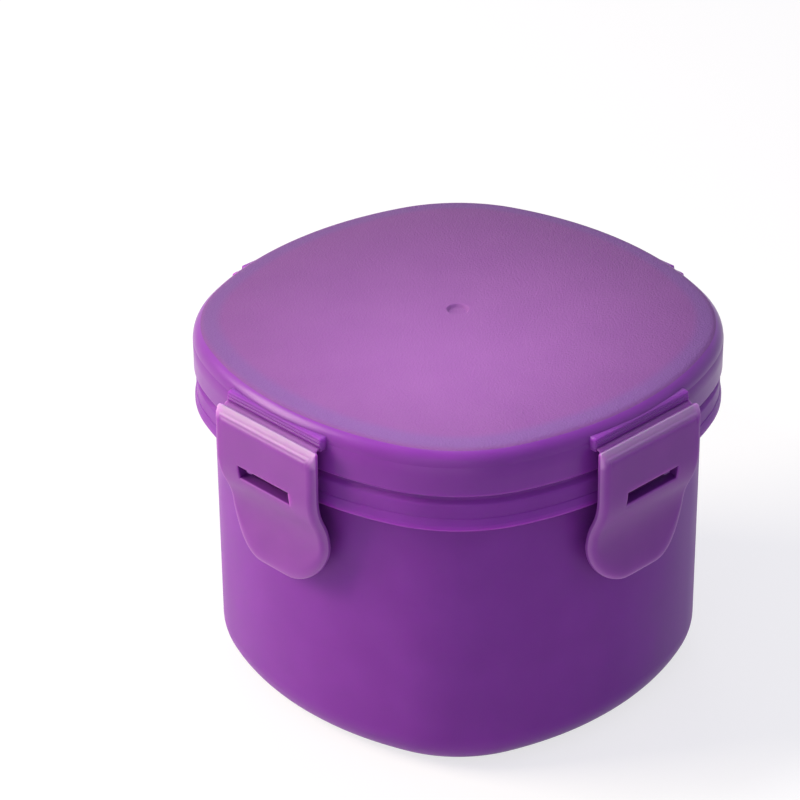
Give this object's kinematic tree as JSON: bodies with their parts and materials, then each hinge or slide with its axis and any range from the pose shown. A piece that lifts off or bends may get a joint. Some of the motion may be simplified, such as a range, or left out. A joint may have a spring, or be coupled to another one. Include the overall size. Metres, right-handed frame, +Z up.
{
  "type": "toddler snack container",
  "caption": "Rounded-square snack container with a crowned lid, a soft seal ring and fold-down locking clips that hook under its flange.",
  "frame": {"origin": "centre of the base, on the table plane", "axes": "+Z up through the lid; flat sides face -Y (front), +X (right), +Y (back) and -X (left)"},
  "size_m": [0.1024, 0.1024, 0.075],
  "materials": {
    "container": "satin, translucent",
    "lid": "fine texture on top, satin rim, translucent",
    "seal_ring": "matt silicone",
    "clips": "satin, translucent"
  },
  "bodies": {
    "container": {"container": "container"},
    "lid": {"lid": "lid", "seal_ring": "seal_ring"},
    "clip_front": {"clip_front": "clips"},
    "clip_right": {"clip_right": "clips"},
    "clip_back": {"clip_back": "clips"},
    "clip_left": {"clip_left": "clips"}
  },
  "joints": [
    {"name": "lid_lift", "type": "slide", "parent": "container", "child": "lid", "axis": [0, 0, 1], "range_m": [0, 0.01]},
    {"name": "clip_front_swing", "type": "hinge", "parent": "lid", "child": "clip_front", "pos_m": [0, -0.0485, 0.0693], "axis": [-1, 0, 0], "range_deg": [0, 120]},
    {"name": "clip_right_swing", "type": "hinge", "parent": "lid", "child": "clip_right", "pos_m": [0.0485, 0, 0.0693], "axis": [0, -1, 0], "range_deg": [0, 120]},
    {"name": "clip_back_swing", "type": "hinge", "parent": "lid", "child": "clip_back", "pos_m": [0, 0.0485, 0.0693], "axis": [1, 0, 0], "range_deg": [0, 120]},
    {"name": "clip_left_swing", "type": "hinge", "parent": "lid", "child": "clip_left", "pos_m": [-0.0485, 0, 0.0693], "axis": [0, 1, 0], "range_deg": [0, 120]}
  ],
  "couplings": [
    {"joint": "clip_front_swing", "follows": "lid_lift", "rad_per_m": 209.43},
    {"joint": "clip_right_swing", "follows": "lid_lift", "rad_per_m": 209.43},
    {"joint": "clip_back_swing", "follows": "lid_lift", "rad_per_m": 209.43},
    {"joint": "clip_left_swing", "follows": "lid_lift", "rad_per_m": 209.43}
  ]
}
